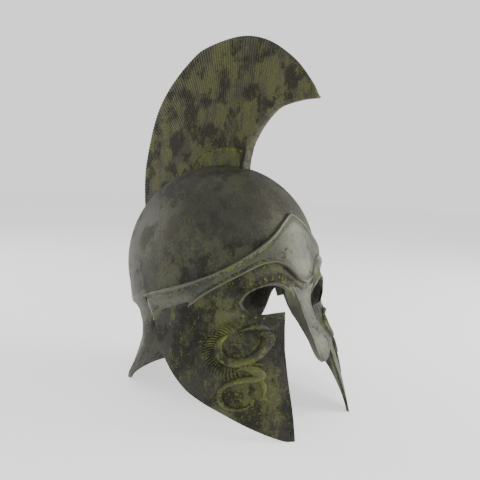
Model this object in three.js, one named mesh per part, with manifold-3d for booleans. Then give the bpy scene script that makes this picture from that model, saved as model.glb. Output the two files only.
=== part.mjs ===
// Greek bronze helmet with a tall fan crest, in millimetres, +Z up.
//
// The helmet is drawn as it is worn: the face looks along -Y, the wearer's left is +X, and the
// origin is the centre of the bowl's brim. The last group then leans it back until it stands on
// the two cheek tips and the middle of the neck guard's rim, as it does on a table.

import * as THREE from 'three';
import { mergeVertices } from 'three/addons/utils/BufferGeometryUtils.js';
import Module from 'manifold-3d';

const wasm = await Module();
wasm.setup();

// ---------------------------------------------------------------------------------------------
// Driving dimensions
// ---------------------------------------------------------------------------------------------

const BOWL = { halfWidth: 94, halfLength: 106, height: 101, wall: 2.6 };
const GAP = 0.3;                       // between the casting, the crest's foot and the plume
const COLUMNS = 60;                    // facets around the bowl
const HOLLOW_COLUMNS = 40;             // facets around its hollow
const DOME_ROWS = 8;                   // facets from the crown to the brim
const SKIRT_ROWS = [-12, -22, -27, -34, -45, -58, -68, -82, -100, -126, -156, -190];

// Half-widths and half-lengths of the level sections below the brim. cheek is the half-width
// over the cheek guards, nape the half-width over the neck guard.
const SECTIONS = [
  { z: 0, cheek: 94, nape: 94, front: 106, back: 106 },
  { z: -22, cheek: 94, nape: 95.5, front: 106, back: 107.5 },
  { z: -27, cheek: 94.5, nape: 93, front: 106, back: 103.5 },
  { z: -34, cheek: 95, nape: 91, front: 105.5, back: 100.5 },
  { z: -45, cheek: 96, nape: 90.5, front: 104, back: 100 },
  { z: -58, cheek: 98, nape: 91.5, front: 98, back: 104.5 },
  { z: -68, cheek: 99, nape: 95, front: 92, back: 111 },
  { z: -82, cheek: 100.5, nape: 101, front: 92, back: 123 },
  { z: -100, cheek: 100.5, nape: 109, front: 93, back: 140 },
  { z: -126, cheek: 99.5, nape: 112, front: 94.5, back: 142 },
  { z: -156, cheek: 93.5, nape: 112, front: 97, back: 142 },
  { z: -190, cheek: 84, nape: 112, front: 99, back: 142 },
];
const EAR_BLEND = { from: 94, to: 99 };         // degrees from the front, cheek to nape

// The brow plate's upper edge: height over the angle from the front, peak first.
const PLATE_TOP = [
  { angle: 0, z: 20 }, { angle: 8, z: 11.7 }, { angle: 15, z: 2.8 }, { angle: 22, z: -4.5 },
  { angle: 29, z: -10 }, { angle: 36, z: -14.6 }, { angle: 45, z: -19.5 }, { angle: 57, z: -23.3 },
  { angle: 70, z: -24.6 }, { angle: 100, z: -22.5 },
];
// Its lower edge: the two brow arcs that meet in a point over the nose, then the temple.
const PLATE_FOOT = [
  { angle: 0, z: -48 }, { angle: 5, z: -44.5 }, { angle: 10, z: -35 }, { angle: 15, z: -28 },
  { angle: 20, z: -25.2 }, { angle: 25, z: -25 }, { angle: 31, z: -26.8 }, { angle: 38, z: -30 },
  { angle: 50, z: -35.5 }, { angle: 60, z: -41 }, { angle: 72, z: -48 }, { angle: 100, z: -50 },
];
const PLATE = { rise: 2.2, lip: 1, lipWidth: 3.5, sink: 1, end: 97, steps: 22 };

// Side outlines, as [y, z]. The cheek guard, from its tip back to the ear.
const CHEEK = {
  tip: [-87, -180],
  rear: [[-80.7, -175.6], [-72, -167.3], [-58, -152.8], [-46.3, -140.3], [-32.3, -127],
    [-21.2, -115.6], [-10.6, -98.8], [-4.6, -85.2], [2.4, -66.7], [3.9, -54], [4.2, -42]],
};
const EAR_SLOT = [5.5, -31];
const NAPE = {
  edge: [[11, -38], [18, -45], [29, -58], [38.5, -66], [53, -75.5], [67, -83.5], [84, -92]],
  corner: [104, -101.5],
  rim: [[114, -98], [126, -94], [138, -92]],
};

// The open face between the cheek guards: half-width over the height.
const FACE = [
  { z: -60, half: 19 }, { z: -67, half: 20.5 }, { z: -76, half: 23.1 }, { z: -89, half: 27.5 },
  { z: -102, half: 31.8 }, { z: -120, half: 35.2 }, { z: -135, half: 37.6 }, { z: -160, half: 40.7 },
  { z: -184, half: 44 },
];

const EYE = {
  outline: [[-61.5, -53], [-58, -48], [-53, -45.4], [-46.8, -44.2], [-40, -43.8], [-35, -44.2],
    [-29.5, -46.2], [-25, -49], [-15, -56], [-10, -70], [-24, -69], [-33, -68.2], [-41.3, -67.6],
    [-48.8, -66], [-53.6, -64], [-57.2, -61], [-60, -57.5]],
};

// The nose guard: half-width, front face and depth down its length.
const NOSE = [
  { z: -38, half: 19, face: -102, depth: 5 },
  { z: -50, half: 17, face: -101.5, depth: 9 },
  { z: -57, half: 12, face: -100, depth: 12 },
  { z: -68, half: 9.2, face: -99.5, depth: 13 },
  { z: -80, half: 9.6, face: -101.5, depth: 10 },
  { z: -92, half: 11.2, face: -104.6, depth: 7 },
  { z: -102, half: 12, face: -107, depth: 5.5 },
  { z: -110, half: 10.8, face: -107.3, depth: 5 },
  { z: -117, half: 6.8, face: -106.5, depth: 4.5 },
  { z: -120.5, half: 2.2, face: -105.8, depth: 4.2 },
];
const NOSE_WALL = 3.2;

// The plume's side outline, as [y, z], from the tip over the top to the nape.
const PLUME = {
  outer: [[-168, 110.5], [-166, 123.4], [-154.4, 153.7], [-130.5, 187.2], [-98.6, 209.7],
    [-52.7, 223.6], [-26.7, 223.8], [11.9, 214.8], [43.2, 199.7], [67.2, 177.5], [93.1, 142.5],
    [104.9, 115], [111.5, 88], [111.5, 58], [101, 26]],
  front: [[-167.6, 107.4], [-150.3, 113.8], [-127.3, 118.6], [-109, 115.2], [-94.7, 108.6],
    [-86.4, 102.4], [-79.4, 95.6], [-71.5, 85], [-66.5, 76], [-64, 64]],
  fan: [-35, 20],                      // the ribs radiate from here
  first: 148, last: -2,                // degrees over the horizontal, front to back
  rootRadius: 40, tipRadius: 200,
  footHalf: 5.6, edgeHalf: 3, thin: [85, 190],
  ribs: 50, ribDepth: 0.8,
};

// The crest's foot: an arch of metal on the crown, thicker than the plume.
const FOOT = {
  arch: [[-73, 87], [-75, 92], [-74.5, 97.5], [-64, 103.5], [-41, 113.5], [-20, 117], [-6, 114],
    [10, 105], [24, 94]],
  front: [-70, 76],
  crown: [-20, 117],
  half: 6.8,
};

// The dragon on each cheek guard, as [y, z] routes in side view.
const DRAGON = {
  bars: [
    {
      route: [[-81, -80], [-83, -88], [-80, -97], [-72, -103], [-62, -101], [-56, -93], [-57, -83],
        [-64, -77]],
      widths: [4, 6, 7, 7.5, 6.5, 5, 3.5], rise: 3.4, steps: 14,
    },
    {
      route: [[-66, -105], [-74, -112], [-76, -119], [-66, -117.5], [-55, -119.5], [-49.5, -127],
        [-52, -136.5], [-62, -141], [-70, -138.5]],
      widths: [5, 6, 6, 5, 4.4, 4, 3.4, 2.6, 1.5], rise: 2.8, steps: 14,
    },
    { route: [[-75, -118], [-77.5, -127], [-76.5, -136], [-79, -141.5]], widths: [4, 2.6, 1.6], rise: 2, steps: 4 },
    { route: [[-84, -82], [-79, -76.5], [-71, -76.5]], widths: [2, 6, 2], rise: 3.4, steps: 4 },
  ],
  mane: { centre: [-68, -91], spines: 18, inner: 15.5, outer: [22, 27], from: 88, to: -80, sweep: -0.16, rise: 1.8 },
};

// The table, as a line in side view: the cheek tips and the middle of the neck guard's rim are
// dressed flat to it, and the helmet leans back until it is level.
const TABLE = { front: [-85, -177.6], back: [131, -92.4] };
const LEAN = Math.atan2(TABLE.back[1] - TABLE.front[1], TABLE.back[0] - TABLE.front[0]);

// ---------------------------------------------------------------------------------------------
// Materials
// ---------------------------------------------------------------------------------------------

const bronze = new THREE.MeshStandardMaterial({ color: 0x3b3d2e, roughness: 0.55, metalness: 0.7 });
const plumeBronze = new THREE.MeshStandardMaterial({ color: 0x3e4227, roughness: 0.7, metalness: 0.5 });
const footBronze = new THREE.MeshStandardMaterial({ color: 0x4a4d33, roughness: 0.6, metalness: 0.6 });

// ---------------------------------------------------------------------------------------------
// Solids from rings of points
// ---------------------------------------------------------------------------------------------

/** A closed body through rings of equal length, capped flat at both ends. */
function loft(rings) {
  const count = rings[0].length;
  const points = rings.flat();
  const first = points.push(centre(rings[0])) - 1;
  const last = points.push(centre(rings[rings.length - 1])) - 1;
  const faces = [];
  for (let row = 0; row < rings.length - 1; row += 1) {
    for (let k = 0; k < count; k += 1) {
      const a = row * count + k;
      const b = row * count + (k + 1) % count;
      faces.push([a, b, b + count], [a, b + count, a + count]);
    }
  }
  const top = (rings.length - 1) * count;
  for (let k = 0; k < count; k += 1) {
    const next = (k + 1) % count;
    faces.push([first, next, k], [last, top + k, top + next]);
  }
  return outward(points, faces);
}

function centre(ring) {
  const sum = new THREE.Vector3();
  ring.forEach((point) => sum.add(point));
  return sum.divideScalar(ring.length);
}

/** A manifold solid of these faces, turned the right way out. */
function outward(points, faces) {
  let volume = 0;
  faces.forEach(([a, b, c]) => {
    volume += points[a].dot(new THREE.Vector3().crossVectors(points[b], points[c]));
  });
  const turned = volume > 0 ? faces : faces.map(([a, b, c]) => [a, c, b]);
  const geometry = new THREE.BufferGeometry();
  geometry.setAttribute('position', new THREE.Float32BufferAttribute(points.flatMap((p) => [p.x, p.y, p.z]), 3));
  geometry.setIndex(turned.flat());
  return solid(geometry);
}

function solid(geometry) {
  const bare = geometry.clone();
  bare.deleteAttribute('normal');
  bare.deleteAttribute('uv');
  const merged = mergeVertices(bare, 1e-4);
  return new wasm.Manifold(new wasm.Mesh({
    numProp: 3,
    vertProperties: new Float32Array(merged.attributes.position.array),
    triVerts: new Uint32Array(merged.index.array),
  }));
}

function named(name, body, material) {
  const mesh = body.getMesh();
  const geometry = new THREE.BufferGeometry();
  geometry.setAttribute('position', new THREE.Float32BufferAttribute(mesh.vertProperties, 3));
  geometry.setIndex(Array.from(mesh.triVerts));
  geometry.computeVertexNormals();
  const result = new THREE.Mesh(geometry, material);
  result.name = name;
  return result;
}

/** A prism along X of an outline given as [y, z] points. */
function sidePrism(outline, half) {
  const shape = new THREE.Shape(outline.map(([y, z]) => new THREE.Vector2(y, z)));
  const geometry = new THREE.ExtrudeGeometry(shape, { depth: 2 * half, bevelEnabled: false });
  geometry.translate(0, 0, -half);
  // The shape's axes (u, v, depth) become (Y, Z, X).
  geometry.applyMatrix4(new THREE.Matrix4().makeBasis(
    new THREE.Vector3(0, 1, 0), new THREE.Vector3(0, 0, 1), new THREE.Vector3(1, 0, 0),
  ));
  return solid(geometry);
}

/** A prism along Y of an outline given as [x, z] points, from y = front to y = back. */
function frontPrism(outline, front, back) {
  const shape = new THREE.Shape(outline.map(([x, z]) => new THREE.Vector2(x, z)));
  const geometry = new THREE.ExtrudeGeometry(shape, { depth: back - front, bevelEnabled: false });
  geometry.applyMatrix4(new THREE.Matrix4().makeBasis(
    new THREE.Vector3(1, 0, 0), new THREE.Vector3(0, 0, 1), new THREE.Vector3(0, -1, 0),
  ));
  geometry.translate(0, back, 0);
  return solid(geometry);
}

/** The same solid on the other side of the helmet. */
function mirrored(body) {
  const { vertProperties, triVerts } = body.getMesh();
  return new wasm.Manifold(new wasm.Mesh({
    numProp: 3,
    vertProperties: vertProperties.map((value, k) => (k % 3 === 0 ? -value : value)),
    triVerts: triVerts.slice().reverse(),
  }));
}

/** A smooth curve through [a, b] points, sampled. */
function smooth(points, samples) {
  const curve = new THREE.SplineCurve(points.map(([a, b]) => new THREE.Vector2(a, b)));
  return curve.getSpacedPoints(samples).map((p) => [p.x, p.y]);
}

// ---------------------------------------------------------------------------------------------
// The bowl's surface
// ---------------------------------------------------------------------------------------------

/** Reads a column of a table whose key rises or falls steadily, by a smooth monotone cubic. */
function look(table, key, column, at) {
  const sign = table[1][key] > table[0][key] ? 1 : -1;
  const x = table.map((row) => sign * row[key]);
  const y = table.map((row) => row[column]);
  const t = Math.min(Math.max(sign * at, x[0]), x[x.length - 1]);
  let k = 0;
  while (k < x.length - 2 && t > x[k + 1]) k += 1;
  const slope = (i) => (y[i + 1] - y[i]) / (x[i + 1] - x[i]);
  const tangent = (i) => {
    if (i === 0) return slope(0);
    if (i === x.length - 1) return slope(i - 1);
    const [a, b] = [slope(i - 1), slope(i)];
    return a * b <= 0 ? 0 : (2 * a * b) / (a + b);
  };
  const h = x[k + 1] - x[k];
  const s = (t - x[k]) / h;
  return y[k] * (1 + 2 * s) * (1 - s) ** 2 + h * tangent(k) * s * (1 - s) ** 2
    + y[k + 1] * s * s * (3 - 2 * s) + h * tangent(k + 1) * s * s * (s - 1);
}

/** The outer surface at an angle from the front (degrees, + towards +X) and a height. */
function surface(angle, z) {
  const turn = THREE.MathUtils.degToRad(angle);
  if (z >= 0) {
    const level = Math.sqrt(Math.max(0, 1 - (z / BOWL.height) ** 2));
    return new THREE.Vector3(
      BOWL.halfWidth * level * Math.sin(turn), -BOWL.halfLength * level * Math.cos(turn), z,
    );
  }
  const nape = THREE.MathUtils.smoothstep(Math.abs(angle), EAR_BLEND.from, EAR_BLEND.to);
  const half = (1 - nape) * look(SECTIONS, 'z', 'cheek', z) + nape * look(SECTIONS, 'z', 'nape', z);
  const reach = Math.abs(angle) < 90 ? look(SECTIONS, 'z', 'front', z) : look(SECTIONS, 'z', 'back', z);
  return new THREE.Vector3(half * Math.sin(turn), -reach * Math.cos(turn), z);
}

/** The outer surface moved along its outward normal. */
function shifted(angle, z, offset) {
  const step = 0.5;
  const point = surface(angle, z);
  if (z > BOWL.height - 1) return point.add(new THREE.Vector3(0, 0, offset));
  const across = surface(angle + step, z).sub(surface(angle - step, z));
  const lower = surface(angle, z - step);
  const upper = surface(angle, Math.min(z + step, BOWL.height));
  const normal = new THREE.Vector3().crossVectors(across, upper.sub(lower)).normalize();
  return point.addScaledVector(normal, offset);
}

/** The whole bowl as a solid, its skin moved by offset, reaching down to z = low. */
function bowl(offset, low, columns = COLUMNS) {
  const angles = Array.from({ length: columns }, (_, k) => -180 + (360 * k) / columns);
  const heights = SKIRT_ROWS.slice();
  for (let row = DOME_ROWS; row >= 1; row -= 1) {
    heights.unshift(row === DOME_ROWS ? 0 : BOWL.height * Math.cos((Math.PI / 2) * (row / DOME_ROWS)));
  }
  const rings = heights.map((z) => angles.map((angle) => shifted(angle, z, offset)));
  const crown = new THREE.Vector3(0, 0, BOWL.height + offset);
  rings.unshift(rings[0].map((point) => crown.clone().lerp(point, 0.001)));
  rings.push(rings[rings.length - 1].map((point) => new THREE.Vector3(point.x, point.y, low)));
  return loft(rings);
}

// ---------------------------------------------------------------------------------------------
// The casting: bowl, cheek guards, neck guard, brow plate and nose guard in one piece
// ---------------------------------------------------------------------------------------------

/** The side outline of all that is kept of the skirt. */
function keptOutline() {
  const far = 160;
  const rear = smooth([CHEEK.tip, ...CHEEK.rear, EAR_SLOT], 18);
  const edge = smooth([EAR_SLOT, ...NAPE.edge, NAPE.corner], 14).slice(1);
  const rim = smooth([NAPE.corner, ...NAPE.rim], 5).slice(1);
  return [
    [-far, far], [-far, CHEEK.tip[1] - 3], [CHEEK.tip[0] - 6, CHEEK.tip[1] - 1.5],
    ...rear, ...edge, ...rim, [far, rim[4][1]], [far, far],
  ];
}

/** The gap between the cheek guards, as a front outline. */
function faceOutline() {
  const side = FACE.map(({ z, half }) => [half, z]);
  const low = FACE[FACE.length - 1];
  const end = [[low.half + 1, low.z - 20]];
  const right = [...side, ...end];
  return [...right.map(([x, z]) => [-x, z]).reverse(), ...right];
}

/** A channel-shaped bar: a rounded face, two flanks that turn back, open behind. */
function noseGuard() {
  const rings = NOSE.map(({ z, half, face, depth }) => {
    const wall = Math.min(NOSE_WALL, depth - 0.6, half * 0.8);
    const flare = depth * 0.12;
    return [
      [-half, face + 1.6], [-half * 0.6, face + 0.3], [0, face], [half * 0.6, face + 0.3],
      [half, face + 1.6], [half + flare, face + depth], [Math.max(half + flare - wall, 0.5), face + depth],
      [half * 0.5, face + wall + 0.4], [-half * 0.5, face + wall + 0.4],
      [-Math.max(half + flare - wall, 0.5), face + depth], [-half - flare, face + depth],
    ].map(([x, y]) => new THREE.Vector3(x, y, z));
  });
  return loft(rings);
}

/** The raised brow plate, sunk into the skin, with a lip along its upper edge. */
function browPlate() {
  const rings = [];
  for (let k = -PLATE.steps; k <= PLATE.steps; k += 1) {
    const angle = (PLATE.end * k) / PLATE.steps;
    const side = Math.abs(angle);
    const top = look(PLATE_TOP, 'angle', 'z', side);
    const foot = look(PLATE_FOOT, 'angle', 'z', side);
    const fade = 1 - THREE.MathUtils.smoothstep(side, 56, 72);
    const rise = PLATE.rise;
    const across = [
      [top, rise + PLATE.lip], [top - PLATE.lipWidth, rise + PLATE.lip],
      [top - PLATE.lipWidth - 1.2, rise], [(top + foot) / 2 - 2, rise * (0.4 + 0.6 * fade)],
      [foot, rise * fade - (1 - fade) * 0.4],
    ];
    const outer = across.map(([z, offset]) => shifted(angle, z, offset));
    const inner = [foot, top].map((z) => shifted(angle, z, -PLATE.sink));
    rings.push([...outer, ...inner]);
  }
  return loft(rings);
}

function helmetShell() {
  const hollow = bowl(-BOWL.wall, -230, HOLLOW_COLUMNS);
  const eye = frontPrism(smooth([...EYE.outline, EYE.outline[0]], 26).slice(0, -1), -140, -40);
  const face = frontPrism(faceOutline(), -140, -40);
  let body = bowl(0, -200).add(browPlate());
  body = body.subtract(hollow);
  body = body.intersect(sidePrism(keptOutline(), 150));
  body = body.subtract(eye).subtract(mirrored(eye)).subtract(face);
  const relief = dragon();
  return body.add(noseGuard()).add(relief).add(mirrored(relief)).subtract(sidePrism(belowTable(), 150));
}

/** The side outline of all that lies under the table line. */
function belowTable() {
  const far = 300;
  const slope = Math.tan(LEAN);
  const height = (y) => TABLE.front[1] + (y - TABLE.front[0]) * slope;
  return [[-far, height(-far)], [-far, -2 * far], [far, -2 * far], [far, height(far)]];
}

// ---------------------------------------------------------------------------------------------
// The cast relief on the cheek guard: a coiled sea dragon with a mane of spines
// ---------------------------------------------------------------------------------------------

/** A point of the +X cheek guard's skin by its side view place, moved out by offset. */
function cheekPoint(y, z, offset) {
  const front = look(SECTIONS, 'z', 'front', z);
  const angle = THREE.MathUtils.radToDeg(Math.acos(Math.min(1, -y / front)));
  return shifted(angle, z, offset);
}

/** A raised bar along a route on the cheek guard, its width running through the given widths. */
function reliefBar(route, widths, rise, steps) {
  const path = smooth(route, steps);
  const rings = path.map(([y, z], k) => {
    const [before, after] = [path[Math.max(0, k - 1)], path[Math.min(steps, k + 1)]];
    const along = new THREE.Vector2(after[0] - before[0], after[1] - before[1]).normalize();
    const part = (k / steps) * (widths.length - 1);
    const low = Math.min(Math.floor(part), widths.length - 2);
    const half = 0.5 * THREE.MathUtils.lerp(widths[low], widths[low + 1], part - low);
    const lift = Math.min(rise, half * 1.4);
    const section = steps > 1 ? [[-1, -1], [-1, lift * 0.35], [0, lift], [1, lift * 0.35], [1, -1]]
      : [[-1, -1], [0, lift], [1, -1]];
    return section.map(
      ([across, offset]) => cheekPoint(y - along.y * across * half, z + along.x * across * half, offset),
    );
  });
  return loft(rings);
}

function dragon() {
  const parts = DRAGON.bars.map(({ route, widths, rise, steps }) => reliefBar(route, widths, rise, steps));
  const { centre: [cy, cz], spines, inner, outer, from, to } = DRAGON.mane;
  for (let k = 0; k < spines; k += 1) {
    const part = k / (spines - 1);
    const turn = THREE.MathUtils.degToRad(THREE.MathUtils.lerp(from, to, part));
    const sweep = turn + DRAGON.mane.sweep;
    const long = THREE.MathUtils.lerp(outer[0], outer[1], part);
    parts.push(reliefBar([
      [cy + inner * Math.cos(turn), cz + inner * Math.sin(turn)],
      [cy + long * Math.cos(sweep), cz + long * Math.sin(sweep)],
    ], [2.6, 0.7], DRAGON.mane.rise, 1));
  }
  return parts.reduce((sum, part) => sum.add(part));
}

// ---------------------------------------------------------------------------------------------
// The crest
// ---------------------------------------------------------------------------------------------

/** The arch's side outline, grown by margin all round. */
function archOutline(margin, low) {
  const [crownY] = FOOT.crown;
  const top = smooth(FOOT.arch, 16).map(([y, z]) => [y + margin * Math.sign(y - crownY), z + margin]);
  const front = FOOT.front[0] - margin;
  const back = FOOT.arch[FOOT.arch.length - 1][0] + margin;
  return [[front, FOOT.front[1]], ...top, [back, low], [front, low]];
}

function crestFoot() {
  return sidePrism(archOutline(0, 50), FOOT.half).subtract(bowl(GAP, -20));
}

/** A flat fan of ribs about one point, thinner outwards, cut to the plume's outline. */
function crestPlume() {
  const stations = 2 * PLUME.ribs;
  const radii = [PLUME.rootRadius, PLUME.thin[0], PLUME.thin[1], PLUME.tipRadius];
  const rings = [];
  for (let k = 0; k <= stations; k += 1) {
    const angle = PLUME.first + ((PLUME.last - PLUME.first) * k) / stations;
    const turn = THREE.MathUtils.degToRad(angle);
    const groove = (k % 2) * PLUME.ribDepth;
    const side = radii.map((radius) => {
      const part = THREE.MathUtils.smoothstep(radius, ...PLUME.thin);
      const half = PLUME.footHalf + (PLUME.edgeHalf - PLUME.footHalf) * part - groove;
      return new THREE.Vector3(
        half, PLUME.fan[0] + radius * Math.cos(turn), PLUME.fan[1] + radius * Math.sin(turn),
      );
    });
    const other = side.map((p) => new THREE.Vector3(-p.x, p.y, p.z)).reverse();
    rings.push([...side, ...other]);
  }
  const outer = smooth(PLUME.outer, 44);
  const front = smooth(PLUME.front, 18).reverse();
  const outline = [...front, ...outer, [40, -40]];
  return loft(rings).intersect(sidePrism(outline, 20))
    .subtract(sidePrism(archOutline(GAP, 30), 20)).subtract(bowl(GAP, -20));
}

// ---------------------------------------------------------------------------------------------
// Assembly, leaned back to rest on its cheek tips and its neck guard
// ---------------------------------------------------------------------------------------------

const worn = new THREE.Group();
worn.add(named('helmet_shell', helmetShell(), bronze));
worn.add(named('crest_foot', crestFoot(), footBronze));
worn.add(named('crest_plume', crestPlume(), plumeBronze));
worn.rotation.x = -LEAN;

const helmet = new THREE.Group();
helmet.add(worn);
helmet.updateMatrixWorld(true);
const box = new THREE.Box3().setFromObject(worn, true);
worn.position.set(0, -(box.min.y + box.max.y) / 2, -box.min.z);

export default helmet;
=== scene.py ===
"""Finished surfaces of a cast bronze helmet with a fan crest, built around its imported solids.

Sizes are in millimetres as the helmet is worn: the face looks along -Y, the wearer's left is +X and
the origin is the centre of the bowl's brim. Skin.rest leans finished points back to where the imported
solids stand, and turns them to metres.
"""
import logging
import math
from dataclasses import dataclass, field
from enum import Enum
from typing import Any, Optional, Sequence

import bpy
import numpy as np
from mathutils import Matrix, Vector


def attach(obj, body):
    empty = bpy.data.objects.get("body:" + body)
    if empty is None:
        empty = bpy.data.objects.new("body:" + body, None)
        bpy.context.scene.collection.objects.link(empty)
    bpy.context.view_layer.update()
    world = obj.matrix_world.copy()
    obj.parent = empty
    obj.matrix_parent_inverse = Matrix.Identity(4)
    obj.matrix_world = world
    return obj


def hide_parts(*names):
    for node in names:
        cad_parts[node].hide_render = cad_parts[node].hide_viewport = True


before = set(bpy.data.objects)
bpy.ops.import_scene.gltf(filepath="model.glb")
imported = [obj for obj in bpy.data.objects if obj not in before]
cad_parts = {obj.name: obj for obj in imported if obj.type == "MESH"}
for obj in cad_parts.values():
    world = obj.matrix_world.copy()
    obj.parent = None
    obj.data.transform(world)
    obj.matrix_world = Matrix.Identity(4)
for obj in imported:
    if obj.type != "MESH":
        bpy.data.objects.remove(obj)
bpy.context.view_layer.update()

MM = 0.001
LOG = logging.getLogger("helmet")

Pair = tuple[float, float]
Colour = tuple[float, float, float]


class Side(Enum):
    """The wearer's two sides, as the sign of X."""

    LEFT = 1
    RIGHT = -1


# ---------------------------------------------------------------------------------------------
# Curves and tables
# ---------------------------------------------------------------------------------------------


def read_table(keys: Sequence[float], values: Sequence[float], at: Any) -> np.ndarray:
    """Reads a column over steadily rising or falling keys by a smooth monotone cubic.

    Args:
        keys: The table's key column.
        values: The column to read.
        at: Where to read it, a number or an array.

    Returns:
        The values there, held constant past both ends.
    """
    x, y = np.asarray(keys, float), np.asarray(values, float)
    if x[1] < x[0]:
        x, y = x[::-1], y[::-1]
    slope = np.diff(y) / np.diff(x)
    tangent = np.concatenate([slope[:1], np.zeros(len(x) - 2), slope[-1:]])
    before, after = slope[:-1], slope[1:]
    same = before * after > 0
    tangent[1:-1][same] = (2 * before * after)[same] / (before + after)[same]
    t = np.clip(at, x[0], x[-1])
    k = np.clip(np.searchsorted(x, t, side="right") - 1, 0, len(x) - 2)
    h = x[k + 1] - x[k]
    s = (t - x[k]) / h
    start = y[k] * (1 + 2 * s) * (1 - s) ** 2 + h * tangent[k] * s * (1 - s) ** 2
    return start + y[k + 1] * s * s * (3 - 2 * s) + h * tangent[k + 1] * s * s * (s - 1)


def spline(points: Sequence[Sequence[float]], samples: int) -> np.ndarray:
    """A smooth curve through points, evenly spaced along its length.

    Args:
        points: The points that it passes through, in order.
        samples: How many steps it is cut into.

    Returns:
        samples + 1 points.
    """
    p = np.asarray(points, float)
    ends = np.vstack([2 * p[0] - p[1], p, 2 * p[-1] - p[-2]])
    t = np.linspace(0, 1, 24, endpoint=False)[:, None]
    runs = []
    for a, b, c, d in zip(ends[:-3], ends[1:-2], ends[2:-1], ends[3:]):
        runs.append(0.5 * (2 * b + (c - a) * t + (2 * a - 5 * b + 4 * c - d) * t**2 + (3 * b - a - 3 * c + d) * t**3))
    fine = np.vstack(runs + [p[-1:]])
    length = np.concatenate([[0], np.cumsum(np.linalg.norm(np.diff(fine, axis=0), axis=1))])
    at = np.linspace(0, length[-1], samples + 1)
    return np.stack([np.interp(at, length, fine[:, k]) for k in range(p.shape[1])], axis=1)


def ease(value: Any, low: float, high: float) -> np.ndarray:
    """0 under low, 1 over high and a smooth step between."""
    t = np.clip((np.asarray(value, float) - low) / (high - low), 0, 1)
    return t * t * (3 - 2 * t)


def ridge(value: Any, centre: float, width: float) -> np.ndarray:
    """A rounded bump of height 1 at centre."""
    return np.exp(-(((np.asarray(value, float) - centre) / width) ** 2))


def distance(points: np.ndarray, line: np.ndarray) -> np.ndarray:
    """How far each point lies from an open line of points, all of them two-dimensional."""
    best = np.full(points.shape[0], np.inf)
    for a, b in zip(line[:-1], line[1:]):
        along = b - a
        t = np.clip((points - a) @ along / max(along @ along, 1e-9), 0, 1)
        best = np.minimum(best, np.linalg.norm(points - a - t[:, None] * along, axis=1))
    return best


# ---------------------------------------------------------------------------------------------
# The skin that all the castings follow
# ---------------------------------------------------------------------------------------------


@dataclass(frozen=True)
class Skin:
    """The bowl's outer surface over the angle from the front (degrees) and the height."""

    half_width: float = 94
    half_length: float = 106
    height: float = 101
    wall: float = 2.6
    ear_blend: Pair = (94, 99)
    # Level sections: height, half-width over the cheeks, over the nape, reach in front, behind.
    levels: tuple[tuple[float, ...], ...] = (
        (0, 94, 94, 106, 106), (-22, 94, 95.5, 106, 107.5), (-27, 94.5, 93, 106, 103.5),
        (-34, 95, 91, 105.5, 100.5), (-45, 96, 90.5, 104, 100), (-58, 98, 91.5, 98, 104.5),
        (-68, 99, 95, 92, 111), (-82, 100.5, 101, 92, 123), (-100, 100.5, 109, 93, 140),
        (-126, 99.5, 112, 94.5, 142), (-156, 93.5, 112, 97, 142), (-190, 84, 112, 99, 142),
    )
    table_front: Pair = (-85, -177.6)
    table_back: Pair = (131, -92.4)
    slide: float = 2.24

    @property
    def lean(self) -> float:
        """How far the helmet leans back where it rests, in radians."""
        (y0, z0), (y1, z1) = self.table_front, self.table_back
        return math.atan2(z1 - z0, y1 - y0)

    def column(self, index: int, z: Any) -> np.ndarray:
        """One column of the level sections, read at heights."""
        return read_table([row[0] for row in self.levels], [row[index] for row in self.levels], z)

    def point(self, angle: Any, z: Any) -> np.ndarray:
        """Points of the skin.

        Args:
            angle: Degrees from the front, positive to the wearer's left.
            z: Heights.

        Returns:
            An array of points with the same leading shape.
        """
        angle, z = np.broadcast_arrays(np.asarray(angle, float), np.asarray(z, float))
        level = np.sqrt(np.clip(1 - (np.clip(z, 0, None) / self.height) ** 2, 0, 1))
        nape = ease(np.abs(angle), *self.ear_blend)
        half = (1 - nape) * self.column(1, z) + nape * self.column(2, z)
        reach = np.where(np.abs(angle) < 90, self.column(3, z), self.column(4, z))
        turn = np.radians(angle)
        x = np.where(z >= 0, self.half_width * level, half) * np.sin(turn)
        y = -np.where(z >= 0, self.half_length * level, reach) * np.cos(turn)
        return np.stack([x, y, z], axis=-1)

    def raised(self, angle: Any, z: Any, offset: Any) -> np.ndarray:
        """Points of the skin moved out along its normal by offset."""
        step = 0.4
        angle, z, offset = np.broadcast_arrays(*(np.asarray(v, float) for v in (angle, z, offset)))
        across = self.point(angle + step, z) - self.point(angle - step, z)
        up = self.point(angle, np.minimum(z + step, self.height - 0.01)) - self.point(angle, z - step)
        normal = np.cross(across, up)
        normal /= np.maximum(np.linalg.norm(normal, axis=-1, keepdims=True), 1e-9)
        return self.point(angle, z) + normal * offset[..., None]

    def side_angle(self, y: Any, z: Any) -> np.ndarray:
        """The angle from the front of the skin's point seen from the side at y and z."""
        y = np.asarray(y, float)
        reach = np.where(y < 0, self.column(3, z), self.column(4, z))
        return np.degrees(np.arccos(np.clip(-y / reach, -1, 1)))

    def turned(self, points: Any) -> np.ndarray:
        """Directions or places leaned back with the helmet."""
        p = np.asarray(points, float)
        c, s = math.cos(self.lean), math.sin(self.lean)
        return np.stack([p[..., 0], c * p[..., 1] + s * p[..., 2], c * p[..., 2] - s * p[..., 1]], axis=-1)

    def rest(self, points: Any) -> np.ndarray:
        """Worn points in millimetres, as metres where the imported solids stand."""
        floor = self.turned([0, *self.table_front])[2]
        return (self.turned(points) + np.array([0, self.slide, -floor])) * MM


# ---------------------------------------------------------------------------------------------
# Working the mesh
# ---------------------------------------------------------------------------------------------


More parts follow.
